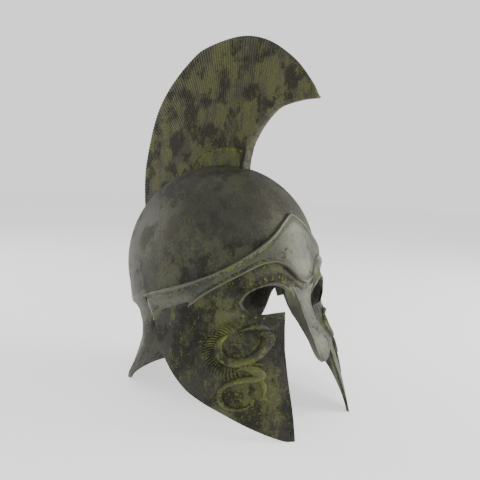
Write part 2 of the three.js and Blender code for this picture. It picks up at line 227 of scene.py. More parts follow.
class Foundry:
    """Makes castings from grid primitives, edit-mode operators and applied modifiers."""

    def __init__(self, skin: Skin) -> None:
        """Keeps the skin whose resting place the castings take."""
        self.skin = skin

    def activate(self, piece: bpy.types.Object) -> None:
        """Leaves piece the only selected object, and the active one."""
        bpy.ops.object.select_all(action="DESELECT")
        piece.select_set(True)
        bpy.context.view_layer.objects.active = piece

    def sheet(self, name: str, points: np.ndarray) -> bpy.types.Object:
        """A grid primitive laid over rows of points.

        Args:
            name: The piece's name.
            points: Rows by columns of worn points, in millimetres.

        Returns:
            The open sheet, placed at rest.
        """
        rows, columns = points.shape[:2]
        bpy.ops.object.select_all(action="DESELECT")
        bpy.ops.mesh.primitive_grid_add(x_subdivisions=columns - 1, y_subdivisions=rows - 1, size=1)
        piece = bpy.context.active_object
        piece.name = piece.data.name = name
        piece.data.vertices.foreach_set("co", self.skin.rest(points).reshape(-1))
        piece.data.update()
        return piece

    def edit(self, piece: bpy.types.Object, seams: bool = False, fill: bool = False) -> None:
        """Merges doubles, closes open ends and turns the faces outwards.

        Args:
            piece: The piece to clean.
            seams: Whether vertices that coincide are merged.
            fill: Whether open rims are closed with faces.
        """
        self.activate(piece)
        bpy.ops.object.mode_set(mode="EDIT")
        bpy.ops.mesh.select_all(action="SELECT")
        if seams:
            bpy.ops.mesh.remove_doubles(threshold=2e-6)
        if fill:
            bpy.ops.mesh.select_all(action="DESELECT")
            bpy.ops.mesh.select_non_manifold(extend=False)
            bpy.ops.mesh.edge_face_add()
            bpy.ops.mesh.select_all(action="SELECT")
        bpy.ops.mesh.normals_make_consistent(inside=False)
        bpy.ops.object.mode_set(mode="OBJECT")

    def tube(self, name: str, rings: np.ndarray) -> bpy.types.Object:
        """A closed casting through rings of points, with flat ends.

        Args:
            name: The piece's name.
            rings: Rings by points of each ring, which needn't repeat its first point.

        Returns:
            The closed piece.
        """
        closed = np.concatenate([rings, rings[:, :1]], axis=1)
        ends = [np.repeat(ring.mean(axis=0)[None], closed.shape[1], axis=0)[None] for ring in (rings[0], rings[-1])]
        piece = self.sheet(name, np.concatenate([ends[0], closed, ends[1]], axis=0))
        self.edit(piece, seams=True)
        return piece

    def modify(self, piece: bpy.types.Object, kind: str, **settings: Any) -> None:
        """Adds a modifier with these settings and applies it."""
        self.activate(piece)
        modifier = piece.modifiers.new(kind.lower(), kind)
        for key, value in settings.items():
            setattr(modifier, key, value)
        bpy.ops.object.modifier_apply(modifier=modifier.name)

    def cut(self, piece: bpy.types.Object, outline: np.ndarray, front: float, back: float) -> None:
        """Cuts a prism with this front outline through piece.

        Args:
            piece: The piece to cut.
            outline: Points as x and z.
            front: The prism's first y.
            back: Its last y.
        """
        rings = np.stack([np.insert(outline, 1, y, axis=1) for y in (front, back)])
        cutter = self.tube("cutter", rings)
        self.modify(piece, "BOOLEAN", operation="DIFFERENCE", solver="MANIFOLD", object=cutter)
        bpy.data.objects.remove(cutter)

    def dress_flat(self, piece: bpy.types.Object) -> None:
        """Cuts off what would lie under the table."""
        self.activate(piece)
        bpy.ops.object.mode_set(mode="EDIT")
        bpy.ops.mesh.select_all(action="SELECT")
        bpy.ops.mesh.bisect(plane_co=(0, 0, 0), plane_no=(0, 0, 1), clear_inner=True, use_fill=True)
        bpy.ops.object.mode_set(mode="OBJECT")

    def face_out(self, piece: bpy.types.Object) -> None:
        """Turns an open sheet's faces away from the middle of the helmet."""
        mesh = piece.data
        normals = np.zeros(len(mesh.polygons) * 3)
        centres = np.zeros(len(mesh.polygons) * 3)
        mesh.polygons.foreach_get("normal", normals)
        mesh.polygons.foreach_get("center", centres)
        middle = self.skin.rest([0, 0, -20])
        out = (normals.reshape(-1, 3) * (centres.reshape(-1, 3) - middle)).sum()
        if out < 0:
            mesh.flip_normals()

    def finish(self, piece: bpy.types.Object, edge: float = 0, passes: int = 14) -> None:
        """Rounds sharp rims, shades the piece smooth and measures its relief.

        Args:
            piece: The piece to finish.
            edge: The width of the rounding on sharp rims, in millimetres.
            passes: How many smoothing passes the relief is measured against.
        """
        if edge:
            self.modify(
                piece, "BEVEL", width=edge * MM, segments=3, limit_method="ANGLE", angle_limit=math.radians(52),
                use_clamp_overlap=True,
            )
        self.activate(piece)
        bpy.ops.object.shade_smooth_by_angle(angle=math.radians(55))
        self.measure_relief(piece.data, passes)

    def measure_relief(self, mesh: bpy.types.Mesh, passes: int) -> None:
        """Stores how far each vertex stands out (+) or lies back (-), in millimetres, as relief."""
        count = len(mesh.vertices)
        place = np.zeros(count * 3)
        normal = np.zeros(count * 3)
        edges = np.zeros(len(mesh.edges) * 2, np.int32)
        mesh.vertices.foreach_get("co", place)
        mesh.vertices.foreach_get("normal", normal)
        mesh.edges.foreach_get("vertices", edges)
        place, edges = place.reshape(-1, 3), edges.reshape(-1, 2)
        both = np.concatenate([edges, edges[:, ::-1]])
        valence = np.maximum(np.bincount(both[:, 0], minlength=count), 1)
        smooth = place
        for _ in range(passes):
            mean = [np.bincount(both[:, 0], smooth[both[:, 1], k], count) / valence for k in range(3)]
            smooth = 0.4 * smooth + 0.6 * np.stack(mean, axis=1)
        relief = ((place - smooth) * normal.reshape(-1, 3)).sum(axis=1) / MM
        layer = mesh.attributes.new("relief", "FLOAT", "POINT")
        layer.data.foreach_set("value", relief.astype(np.float32))


# ---------------------------------------------------------------------------------------------
# Shader nodes
# ---------------------------------------------------------------------------------------------


class Wire:
    """A shader value. Arithmetic on wires and numbers adds the Math nodes that it needs."""

    def __init__(self, shop: "NodeShop", socket: bpy.types.NodeSocket) -> None:
        """Keeps the socket that carries the value."""
        self.shop = shop
        self.socket = socket

    def math(self, operation: str, *values: Any, clamp: bool = False) -> "Wire":
        """The result of a Math node on these values."""
        node = self.shop.node("ShaderNodeMath", {"operation": operation, "use_clamp": clamp}, dict(enumerate(values)))
        return Wire(self.shop, node.outputs[0])

    def __add__(self, other: Any) -> "Wire":
        """self + other."""
        return self.math("ADD", self, other)

    __radd__ = __add__

    def __sub__(self, other: Any) -> "Wire":
        """self - other."""
        return self.math("SUBTRACT", self, other)

    def __rsub__(self, other: Any) -> "Wire":
        """other - self."""
        return self.math("SUBTRACT", other, self)

    def __mul__(self, other: Any) -> "Wire":
        """self * other."""
        return self.math("MULTIPLY", self, other)

    __rmul__ = __mul__

    def __pow__(self, other: Any) -> "Wire":
        """self ** other."""
        return self.math("POWER", self, other)

    def clipped(self) -> "Wire":
        """The value held between 0 and 1."""
        return self.math("ADD", self, 0.0, clamp=True)

    def over(self, low: float, high: float) -> "Wire":
        """0 under low, 1 over high, a smooth step between."""
        node = self.shop.node(
            "ShaderNodeMapRange", {"interpolation_type": "SMOOTHSTEP"}, {"Value": self, "From Min": low, "From Max": high},
        )
        return Wire(self.shop, node.outputs["Result"])


class NodeShop:
    """Adds nodes to one material."""

    def __init__(self, name: str) -> None:
        """Starts a material with an empty node tree."""
        self.material = bpy.data.materials.new(name)
        self.material.use_nodes = True
        self.tree = self.material.node_tree
        self.tree.nodes.clear()

    def node(self, kind: str, settings: dict[str, Any], values: dict[Any, Any]) -> bpy.types.Node:
        """Adds a node.

        Args:
            kind: Its type.
            settings: Its properties, set first.
            values: Numbers, colours, wires or sockets for its inputs, by name or place.

        Returns:
            The node.
        """
        node = self.tree.nodes.new(kind)
        for key, value in settings.items():
            setattr(node, key, value)
        for key, value in values.items():
            socket = value.socket if isinstance(value, Wire) else value
            if isinstance(socket, bpy.types.NodeSocket):
                self.tree.links.new(socket, node.inputs[key])
            else:
                node.inputs[key].default_value = socket
        return node

    def mix(self, share: Any, first: Any, second: Any) -> bpy.types.NodeSocket:
        """first turning into second as share rises, as colours."""
        values = {0: share, 6: self.colour(first), 7: self.colour(second)}
        return self.node("ShaderNodeMix", {"data_type": "RGBA"}, values).outputs[2]

    def colour(self, value: Any) -> Any:
        """A colour with its alpha, or the socket that it already is."""
        return value if isinstance(value, bpy.types.NodeSocket) else (*value, 1.0)

    def noise(self, place: bpy.types.NodeSocket, scale: float, detail: float = 4, rough: float = 0.6) -> Wire:
        """Soft noise about 0.5, its scale in cycles a metre."""
        values = {"Vector": place, "Scale": scale, "Detail": detail, "Roughness": rough}
        return Wire(self, self.node("ShaderNodeTexNoise", {}, values).outputs[0])

    def place(self, stretch: Colour = (1, 1, 1), shift: Colour = (0, 0, 0)) -> bpy.types.NodeSocket:
        """Object coordinates, scaled and moved."""
        source = self.node("ShaderNodeTexCoord", {}, {}).outputs["Object"]
        values = {"Vector": source, "Scale": stretch, "Location": shift}
        return self.node("ShaderNodeMapping", {}, values).outputs[0]


@dataclass(frozen=True)
class Patina:
    """An old bronze surface: dark ground, olive film, soot, bright verdigris and rubbed metal."""

    name: str
    ground: Colour = (0.026, 0.025, 0.018)
    olive: Colour = (0.074, 0.078, 0.030)
    soot: Colour = (0.004, 0.0036, 0.0026)
    green: Colour = (0.150, 0.175, 0.020)
    rubbed: Colour = (0.115, 0.112, 0.085)
    olive_share: float = 0.5
    soot_share: float = 0.5
    green_share: float = 0.5
    rub: float = 0.6
    pits: float = 1.0
    roughness: float = 0.56
    metallic: float = 0.35
    streak: Colour = (1, 1, 0.35)
    shift: Colour = (0, 0, 0)

    def material(self) -> bpy.types.Material:
        """Builds the node material.

        Returns:
            The material.
        """
        shop = NodeShop(self.name)
        flat = shop.place(shift=self.shift)
        drawn = shop.place(stretch=self.streak, shift=self.shift)
        cloud = shop.noise(flat, 24, 3, 0.55)
        blot = shop.noise(flat, 42, 5, 0.62)
        run = shop.noise(drawn, 150, 6, 0.7)
        fleck = shop.noise(flat, 430, 5, 0.72)
        grain = shop.noise(flat, 1500, 3, 0.6)
        relief = Wire(shop, shop.node("ShaderNodeAttribute", {"attribute_name": "relief"}, {}).outputs["Fac"])
        low = (relief * -3.0).clipped()
        high = (relief * 3.0).clipped()

        film = (cloud * 0.5 + run * 0.45 + fleck * 0.35).over(0.68 - 0.09 * self.olive_share, 0.75 - 0.09 * self.olive_share)
        black = (blot * 0.6 + run * 0.3 + fleck * 0.3).over(0.68 - 0.11 * self.soot_share, 0.72 - 0.11 * self.soot_share)
        crust = (fleck * 0.8 + run * 0.45 + low * 0.12 + cloud * 0.2).over(
            0.86 - 0.12 * self.green_share, 0.94 - 0.12 * self.green_share
        )
        shine = (high * (0.45 + fleck)).over(0.12, 0.9) * self.rub
        tone = shop.mix(film, self.ground, self.olive)
        tone = shop.mix(black * 0.85, tone, self.soot)
        tone = shop.mix((grain * 0.8 + fleck * 0.6).over(0.62, 0.95) * 0.35, tone, self.rubbed)
        tone = shop.mix(low * 0.55, tone, self.soot)
        tone = shop.mix(crust * 0.8, tone, self.green)
        tone = shop.mix(shine, tone, self.rubbed)
        rough = (self.roughness + 0.2 * crust + 0.14 * black - 0.12 * shine + (fleck - 0.5) * 0.35).clipped()
        metal = (self.metallic * (1 - crust * 0.9)).clipped()
        height = fleck * 0.6 + grain * 0.25 + crust * 0.5 + run * 0.3 - black * 0.25
        bump = shop.node(
            "ShaderNodeBump", {}, {"Strength": 0.55, "Distance": 0.0009 * self.pits, "Height": height}
        )
        values = {
            "Base Color": tone, "Roughness": rough, "Metallic": metal, "Normal": bump.outputs[0],
            "Specular IOR Level": 0.42,
        }
        shader = shop.node("ShaderNodeBsdfPrincipled", {}, values)
        shop.node("ShaderNodeOutputMaterial", {}, {"Surface": shader.outputs[0]})
        return shop.material


BOWL_PATINA = Patina(
    "bowl_patina", ground=(0.032, 0.031, 0.023), olive=(0.062, 0.064, 0.036), soot=(0.009, 0.008, 0.006),
    olive_share=0.75, soot_share=0.55, green_share=0.25, rub=0.4, roughness=0.55,
)
CHEEK_PATINA = Patina(
    "cheek_patina", olive_share=0.75, soot_share=0.8, green_share=0.55, rub=0.7, streak=(1, 1, 0.45),
    shift=(0.3, 0.1, 0.2),
)
BROW_PATINA = Patina(
    "brow_patina", ground=(0.058, 0.061, 0.050), olive=(0.088, 0.092, 0.066), soot=(0.020, 0.020, 0.016),
    olive_share=0.6, soot_share=0.25, green_share=0.15, rub=0.6, pits=0.6, roughness=0.5,
)
DRAGON_PATINA = Patina(
    "dragon_patina", olive=(0.085, 0.092, 0.026), green=(0.17, 0.20, 0.02), olive_share=0.85, soot_share=0.6,
    green_share=0.8, rub=0.15, roughness=0.66, shift=(0.3, 0.1, 0.2),
)
PLUME_PATINA = Patina(
    "plume_patina", ground=(0.040, 0.037, 0.020), olive=(0.078, 0.080, 0.024), soot=(0.008, 0.006, 0.005),
    olive_share=1.0, soot_share=0.75, green_share=0.3, rub=0.3, roughness=0.7, metallic=0.2, streak=(1, 1, 0.18),
)
FOOT_PATINA = Patina(
    "foot_patina", olive_share=0.9, soot_share=0.7, green_share=0.85, rub=0.4, pits=1.8, roughness=0.7,
)


# ---------------------------------------------------------------------------------------------
# The castings
# ---------------------------------------------------------------------------------------------


@dataclass
class Casting:
    """What the helmet's pieces share."""

    skin: Skin
    foundry: Foundry

    def settle(self, piece: bpy.types.Object, patina: Patina, node: str, slot: str) -> None:
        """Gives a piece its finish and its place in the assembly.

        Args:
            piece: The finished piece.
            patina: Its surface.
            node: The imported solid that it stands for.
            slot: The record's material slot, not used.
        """
        piece.data.materials.clear()
        material = bpy.data.materials.get(patina.name) or patina.material()
        piece.data.materials.append(material)
        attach(piece, "root")
        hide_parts(node)
        LOG.info("%s: %d faces", piece.name, len(piece.data.polygons))


@dataclass
class Plate(Casting):
    """The raised brow plate, from ear to ear."""

    top: tuple[Pair, ...] = (
        (0, 20), (8, 11.7), (15, 2.8), (22, -4.5), (29, -10), (36, -14.6), (45, -19.5), (57, -23.3), (70, -24.6),
        (100, -22.5),
    )
    foot: tuple[Pair, ...] = (
        (0, -48), (5, -44.5), (10, -35), (15, -28), (20, -25.2), (25, -25), (31, -26.8), (38, -30), (50, -35.5),
        (60, -41), (72, -48), (100, -50),
    )
    rise: float = 2.2
    lip: float = 1.1
    end: float = 97
    steps: int = 300
    seam_drop: float = 5

    def upper(self, angle: Any) -> np.ndarray:
        """The height of the plate's upper edge."""
        return read_table([a for a, _ in self.top], [z for _, z in self.top], np.abs(angle))

    def lower(self, angle: Any) -> np.ndarray:
        """The height of its lower edge: the brow arcs and the temple."""
        return read_table([a for a, _ in self.foot], [z for _, z in self.foot], np.abs(angle))

    def seam(self, angle: Any) -> np.ndarray:
        """Where the bowl meets the face guard, hidden under the plate."""
        return self.upper(angle) - self.seam_drop

    def build(self) -> None:
        """Rolls the plate over the skin and finishes it."""
        angle = np.linspace(-self.end, self.end, self.steps + 1)[:, None]
        top, foot = self.upper(angle), self.lower(angle)
        fade = 1 - ease(np.abs(angle), 56, 72)
        down = np.array([0, 0.4, 1.0, 1.8, 2.6, 3.3, 4.0, 4.8, 5.8])[None, :]
        depth = top - foot
        body = np.linspace(0.18, 0.86, 14)[None, :]
        up = np.array([4.6, 3.4, 2.4, 1.5, 0.8, 0.3, 0.0])[None, :]
        z = np.concatenate([top - down * np.minimum(1, depth / 14), top - depth * body, foot + up], axis=1)
        from_top, from_foot = top - z, z - foot
        edge_round = np.sqrt(np.clip(1 - (1 - np.minimum(from_top, 1.2) / 1.2) ** 2, 0, 1))
        foot_round = np.sqrt(np.clip(1 - (1 - np.minimum(from_foot, 1.0) / 1.0) ** 2, 0, 1))
        hold = fade + (1 - fade) * ease(from_foot / depth, 0.15, 0.6)
        bulge = self.lip * ridge(from_top, 1.7, 1.5) - 0.5 * ridge(from_top, 4.6, 1.2)
        brow_line = 0.9 * ridge(from_foot, 1.5, 1.1) * fade - 0.35 * ridge(from_foot, 4.6, 1.6) * fade
        offset = (self.rise * hold + bulge + brow_line) * edge_round * foot_round - 0.5 * (1 - hold)
        outer = self.skin.raised(angle, z, offset - 0.6 * (1 - edge_round * foot_round))
        inner = self.skin.raised(angle, np.concatenate([foot, top], axis=1), -1.2)
        piece = self.foundry.tube("brow_plate", np.concatenate([outer, inner], axis=1))
        self.foundry.finish(piece, passes=8)
        self.settle(piece, BROW_PATINA, "helmet_shell", "cast_bronze")


@dataclass
class Bowl(Casting):
    """The dome, and the waisted neck guard behind the ears."""

    plate: Optional[Plate] = None
    ear: Pair = (5.5, -31)
    nape: tuple[Pair, ...] = (
        (11, -38), (18, -45), (29, -58), (38.5, -66), (53, -75.5), (67, -83.5), (84, -92), (104, -101.5), (114, -98),
        (126, -94), (138, -92),
    )
    columns: int = 320
    dome_rows: int = 64
    skirt_rows: int = 76

    def rim(self, angle: np.ndarray) -> np.ndarray:
        """The height of the lower rim over the angle from the front."""
        line = spline([self.ear, *self.nape], 120)
        turn = self.skin.side_angle(line[:, 0], line[:, 1])
        order = np.maximum.accumulate(turn)
        order[-1] = 180
        behind = np.interp(np.abs(angle), order, line[:, 1])
        return np.where(np.abs(angle) < order[0], self.plate.seam(angle), behind)

    def build(self) -> None:
        """Lays the skin over the bowl, gives it its wall and dresses the rim flat."""
        angle = np.linspace(-180, 180, self.columns + 1)[None, :]
        rim = self.rim(angle)
        start = np.maximum(rim, 0)
        crown = np.linspace(0.004, 1, self.dome_rows)[:, None]
        dome = start + (self.skin.height - start) * np.cos(crown * math.pi / 2)
        low = np.linspace(0, 1, self.skirt_rows + 1)[1:, None]
        skirt = start + (rim - start - 0.0) * low
        z = np.concatenate([np.minimum(dome, self.skin.height), skirt], axis=0)
        points = self.skin.point(angle, z)
        pole = np.repeat(np.array([[[0, 0, self.skin.height]]]), self.columns + 1, axis=1)
        piece = self.foundry.sheet("bowl", np.concatenate([pole, points], axis=0))
        self.foundry.edit(piece, seams=True)
        self.foundry.face_out(piece)
        self.foundry.modify(piece, "SOLIDIFY", thickness=self.skin.wall * MM, offset=-1)
        self.foundry.dress_flat(piece)
        self.foundry.finish(piece, edge=0.7)
        self.settle(piece, BOWL_PATINA, "helmet_shell", "cast_bronze")


@dataclass
class FaceGuard(Casting):
    """The face and cheek guard of one side, with its eye opening."""

    plate: Optional[Plate] = None
    side: Side = Side.LEFT
    rear: tuple[Pair, ...] = (
        (-87, -180), (-80.7, -175.6), (-72, -167.3), (-58, -152.8), (-46.3, -140.3), (-32.3, -127), (-21.2, -115.6),
        (-10.6, -98.8), (-4.6, -85.2), (2.4, -66.7), (3.9, -54), (4.2, -42), (5.5, -31),
    )
    eye: tuple[Pair, ...] = (
        (-61.5, -53), (-58, -48), (-53, -45.4), (-46.8, -44.2), (-40, -43.8), (-35, -44.2), (-29.5, -46.2),
        (-25, -49), (-15, -56), (-10, -70), (-24, -69), (-33, -68.2), (-41.3, -67.6), (-48.8, -66), (-53.6, -64),
        (-57.2, -61), (-60, -57.5),
    )
    slot: tuple[Pair, ...] = (
        (-60, 19), (-67, 20.5), (-76, 23.1), (-89, 27.5), (-102, 31.8), (-120, 35.2), (-135, 37.6), (-160, 40.7),
        (-184, 44), (-204, 45),
    )
    columns: int = 190
    rows: int = 150

    def build(self) -> None:
        """Lays the skin over the cheek, gives it its wall and cuts the eye and the face's gap."""
        sign = self.side.value
        line = spline(self.rear, 160)
        turn = np.maximum.accumulate(self.skin.side_angle(line[:, 0], line[:, 1]))
        reach = np.concatenate([[0], np.cumsum(np.hypot(np.diff(turn) * 1.7, np.diff(line[:, 1]) * 0.5))])
        back = np.interp(np.linspace(0, reach[-1], self.columns * 3 // 4), reach, turn)
        angle = np.concatenate([np.linspace(0, turn[0], self.columns // 4, endpoint=False), back])[None, :]
        low = np.interp(angle, turn, line[:, 1])
        seam = self.plate.seam(angle)
        part = np.linspace(0, 1, self.rows + 1)[:, None]
        z = seam + (np.minimum(low, seam - 1) - seam) * part
        outline = spline([*self.eye, self.eye[0]], 120)
        plain = self.skin.point(angle, z)
        flat = np.stack([plain[..., 0], plain[..., 2]], axis=-1).reshape(-1, 2)
        gap = distance(flat * [-1, 1], outline).reshape(z.shape)
        upper = ease(z, -62, -56)
        rim = (0.3 + 0.5 * upper) * ridge(gap, 1.1, 1.0) - upper * 0.9 * ridge(gap, 6.5, 3.6)
        points = self.skin.raised(angle, z, rim)
        points[..., 0] *= sign
        piece = self.foundry.sheet(f"face_guard_{self.side.name.lower()}", points)
        self.foundry.face_out(piece)
        self.foundry.modify(piece, "SOLIDIFY", thickness=self.skin.wall * MM, offset=-1)
        half = outline[:-1] * [-sign, 1]
        self.foundry.cut(piece, half, -150, -40)
        side = np.array([(x, z) for z, x in self.slot])
        self.foundry.cut(piece, np.concatenate([side * [-1, 1], side[::-1]]), -150, -40)
        self.foundry.dress_flat(piece)
        self.foundry.finish(piece, edge=0.7)
        self.settle(piece, CHEEK_PATINA, "helmet_shell", "cast_bronze")


@dataclass
class NoseGuard(Casting):
    """The spoon-shaped nose guard, a channel with a thin raised border."""

    # Height, half-width, front face and depth down its length.
    rows: tuple[tuple[float, ...], ...] = (
        (-38, 19, -102, 5), (-50, 17, -101.5, 9), (-57, 12, -100, 12), (-68, 9.2, -99.5, 13), (-80, 9.6, -101.5, 10),
        (-92, 11.2, -104.6, 7), (-102, 12, -107, 5.5), (-110, 10.8, -107.3, 5), (-117, 6.8, -106.5, 4.5),
        (-120.5, 2.2, -105.8, 4.2),
    )
    wall: float = 3.2
    rings: int = 90

    def build(self) -> None:
        """Lofts the channel and finishes it."""
        table = np.array(self.rows)
        z = np.linspace(table[0, 0], table[-1, 0], self.rings)
        half, face, depth = (read_table(table[:, 0], table[:, k], z) for k in (1, 2, 3))
        across = np.sin(np.linspace(-1, 1, 33) * math.pi / 2)
        rings = []
        for height, h, f, d in zip(z, half, face, depth):
            border = 0.7 * ridge(np.abs(across), 0.86, 0.07) * min(1, h / 8)
            front = f + 1.8 * across**2 - border + 0.5 * ridge(across, 0, 0.5)
            wall = min(self.wall, d - 0.6, h * 0.8)
            flare = d * 0.06
            x = list(across * h) + [h + flare, max(h + flare - wall, 0.4), h * 0.5, -h * 0.5]
            y = list(front) + [f + d, f + d, f + wall + 0.4, f + wall + 0.4]
            x += [-max(h + flare - wall, 0.4), -h - flare]
            y += [f + d, f + d]
            rings.append([(a, b, height) for a, b in zip(x, y)])
        piece = self.foundry.tube("nose_guard", np.array(rings))
        self.foundry.finish(piece, edge=0.5, passes=8)
        self.settle(piece, BROW_PATINA, "helmet_shell", "cast_bronze")


@dataclass(frozen=True)
class Bar:
    """A raised bar of the relief: its route in side view, its widths along it and its height."""

    route: tuple[Pair, ...]
    widths: tuple[float, ...]
    rise: float
    steps: int = 90
    scales: int = 0


@dataclass
class Dragon(Casting):
    """The coiled sea dragon on a cheek guard: body, tail, leg, head and a fan of spines."""

    side: Side = Side.LEFT
    bars: tuple[Bar, ...] = (
        Bar(
            ((-81, -80), (-83, -88), (-80, -97), (-72, -103), (-62, -101), (-56, -93), (-57, -83), (-64, -77)),
            (2.5, 6, 7, 7.5, 6.5, 5, 2.5), 3.2, 140, 26,
        ),
        Bar(
            ((-66, -105), (-74, -112), (-76, -119), (-66, -117.5), (-55, -119.5), (-49.5, -127), (-52, -136.5),
             (-62, -141), (-70, -138.5)),
            (2.5, 6, 6, 5, 4.4, 4, 3.4, 2.6, 1), 2.8, 160, 30,
        ),
        Bar(((-75, -118), (-77.5, -127), (-76.5, -136), (-79, -141.5)), (2, 2.6, 1.6, 0.8), 2, 50),
        Bar(((-84, -82), (-79, -76.5), (-71, -76.5)), (1.5, 6, 1.5), 3.2, 50),
        Bar(((-60, -112), (-66, -108), (-74, -107), (-80, -110)), (1, 2.2, 2, 0.8), 1.6, 40),
        Bar(((-62, -84), (-68, -88), (-70, -95), (-66, -97)), (1, 2.4, 2, 0.8), 1.5, 40),
    )
    mane_centre: Pair = (-68, -91)
    spines: int = 26
    inner: float = 15.5
    outer: Pair = (23, 28)
    spread: Pair = (88, -80)
    sweep: float = -0.2

    def bar(self, bar: Bar, name: str) -> bpy.types.Object:
        """Rolls one bar over the cheek.

        Args:
            bar: The bar.
            name: The piece's name.

        Returns:
            The closed piece.
        """
        path = spline(bar.route, bar.steps)
        along = np.gradient(path, axis=0)
        along /= np.linalg.norm(along, axis=1, keepdims=True)
        part = np.linspace(0, 1, len(path))
        half = 0.5 * np.interp(part * (len(bar.widths) - 1), np.arange(len(bar.widths)), bar.widths)
        if bar.scales:
            half = half * (1 + 0.08 * np.abs(np.sin(part * math.pi * bar.scales)))
        lift = np.minimum(bar.rise, half * 1.3)
        ends = np.sqrt(np.clip(np.minimum(part, 1 - part) / 0.04, 0, 1))
        turn = np.linspace(-0.25, 1.25, 13) * math.pi
        across = -np.cos(turn)[None, :] * (half * ends)[:, None]
        height = np.sin(turn)[None, :]
        offset = np.where(height > 0, height * (lift * ends)[:, None], height * 1.6)
        y = path[:, :1] - along[:, 1:] * across
        z = path[:, 1:] + along[:, :1] * across
        points = self.skin.raised(self.skin.side_angle(y, z), z, offset)
        points[..., 0] *= self.side.value
        return self.foundry.tube(name, points)

    def build(self) -> None:
        """Joins the bars and spines to one relief."""
        name = f"dragon_{self.side.name.lower()}"
        pieces = [self.bar(bar, f"{name}_bar") for bar in self.bars]
        cy, cz = self.mane_centre
        for k in range(self.spines):
            part = k / (self.spines - 1)
            turn = math.radians(self.spread[0] + (self.spread[1] - self.spread[0]) * part)
            long = self.outer[0] + (self.outer[1] - self.outer[0]) * part
            route = []
            for step, reach in ((0, self.inner - 1), (0.4, 0.5 * (self.inner + long)), (1, long)):
                at = turn + self.sweep * step
                route.append((cy + reach * math.cos(at), cz + reach * math.sin(at)))
            pieces.append(self.bar(Bar(tuple(route), (1.2, 1.9, 0.7), 1.7, 14), f"{name}_spine"))
        self.foundry.activate(pieces[0])
        for piece in pieces:
            piece.select_set(True)
        bpy.ops.object.join()
        relief = bpy.context.active_object
        relief.name = relief.data.name = name
        self.foundry.finish(relief, passes=6)
        self.settle(relief, DRAGON_PATINA, "helmet_shell", "cast_bronze")


@dataclass
class Plume(Casting):
    """The fan of fine ribs that stands on the crown."""

    outer: tuple[Pair, ...] = (
        (-168, 110.5), (-166, 123.4), (-154.4, 153.7), (-130.5, 187.2), (-98.6, 209.7), (-52.7, 223.6),
        (-26.7, 223.8), (11.9, 214.8), (43.2, 199.7), (67.2, 177.5), (93.1, 142.5), (104.9, 115), (111.5, 88),
        (111.5, 58), (101, 26),
    )
    front: tuple[Pair, ...] = (
        (-167.6, 107.4), (-150.3, 113.8), (-127.3, 118.6), (-109, 115.2), (-94.7, 108.6), (-85.4, 102.4),
        (-77.4, 95.6), (-69.5, 85),
    )
    fan: Pair = (-35, 20)
    foot_half: float = 5.6
    edge_half: float = 3
    thin: Pair = (85, 190)
    ribs: int = 136
    samples: int = 5
    rib_depth: float = 0.75

    def polar(self, points: np.ndarray) -> tuple[np.ndarray, np.ndarray]:
        """Angles in degrees and radii of side-view points about the fan's centre."""
        y, z = (points - np.array(self.fan)).T
        return np.degrees(np.arctan2(z, y)), np.hypot(y, z)

    def dome_radius(self, turn: np.ndarray) -> np.ndarray:
        """How far the dome lies from the fan's centre along each ray."""
        c, s = np.cos(turn) / self.skin.half_length, np.sin(turn) / self.skin.height
        a, b = self.fan[0] / self.skin.half_length, self.fan[1] / self.skin.height
        half, rest = a * c + b * s, a * a + b * b - 1
        square = c * c + s * s
        return (-half + np.sqrt(half**2 - square * rest)) / square

    def build(self) -> None:
        """Rolls the fan's two ribbed sides and its rim."""
        over, reach = self.polar(spline(self.outer, 200))
        under, base = self.polar(spline(self.front, 80))
        first, last = under[0], over[-1]
        degrees = np.linspace(last, first, self.ribs * self.samples + 1)
        turn = np.radians(degrees)
        rib = 0.5 - 0.5 * np.cos(2 * math.pi * self.ribs * (degrees - last) / (first - last))
        tip = 1 - 0.75 * ease(degrees, 116, 134)
        top = np.interp(degrees, over[::-1], reach[::-1]) - 0.35 * (1 - rib) * tip
        low = np.where(degrees > under[-1], np.interp(degrees, under[::-1], base[::-1]), self.dome_radius(turn) - 1.6)
        low = np.minimum(low, top - 0.4)
        part = np.linspace(0, 1, 30)[None, :]
        round_part = np.sin(np.linspace(0, 1, 6) * math.pi / 2)[None, 1:]
        side = low[:, None] + (top - low - np.minimum(2.4, (top - low) * 0.3))[:, None] * part
        rim = side[:, -1:] + (top[:, None] - side[:, -1:]) * round_part
        radius = np.concatenate([side, rim], axis=1)
        slim = ease(radius, *self.thin)
        half = self.foot_half + (self.edge_half - self.foot_half) * slim
        groove = self.rib_depth * (radius / 200) * ((1 - rib) ** 1.5 * tip)[:, None]
        under_edge = np.where(degrees > under[-1], 1.0, 0.0)[:, None]
        soft = np.sqrt(np.clip((radius - low[:, None]) / 2.2, 0, 1))
        half = (half - groove) * (1 - under_edge * (1 - np.maximum(soft, 0.45)))
        crown = np.sqrt(np.clip(1 - round_part**2, 0, 1))
        crown[0, -1] = 0.12
        half[:, -round_part.shape[1]:] *= crown
        y = self.fan[0] + radius * np.cos(turn)[:, None]
        z = self.fan[1] + radius * np.sin(turn)[:, None]
        one = np.stack([half, y, z], axis=-1)
        other = one[:, ::-1] * [-1, 1, 1]
        piece = self.foundry.tube("plume", np.concatenate([one, other], axis=1))
        self.foundry.finish(piece, passes=5)
        self.settle(piece, PLUME_PATINA, "crest_plume", "plume_bronze")


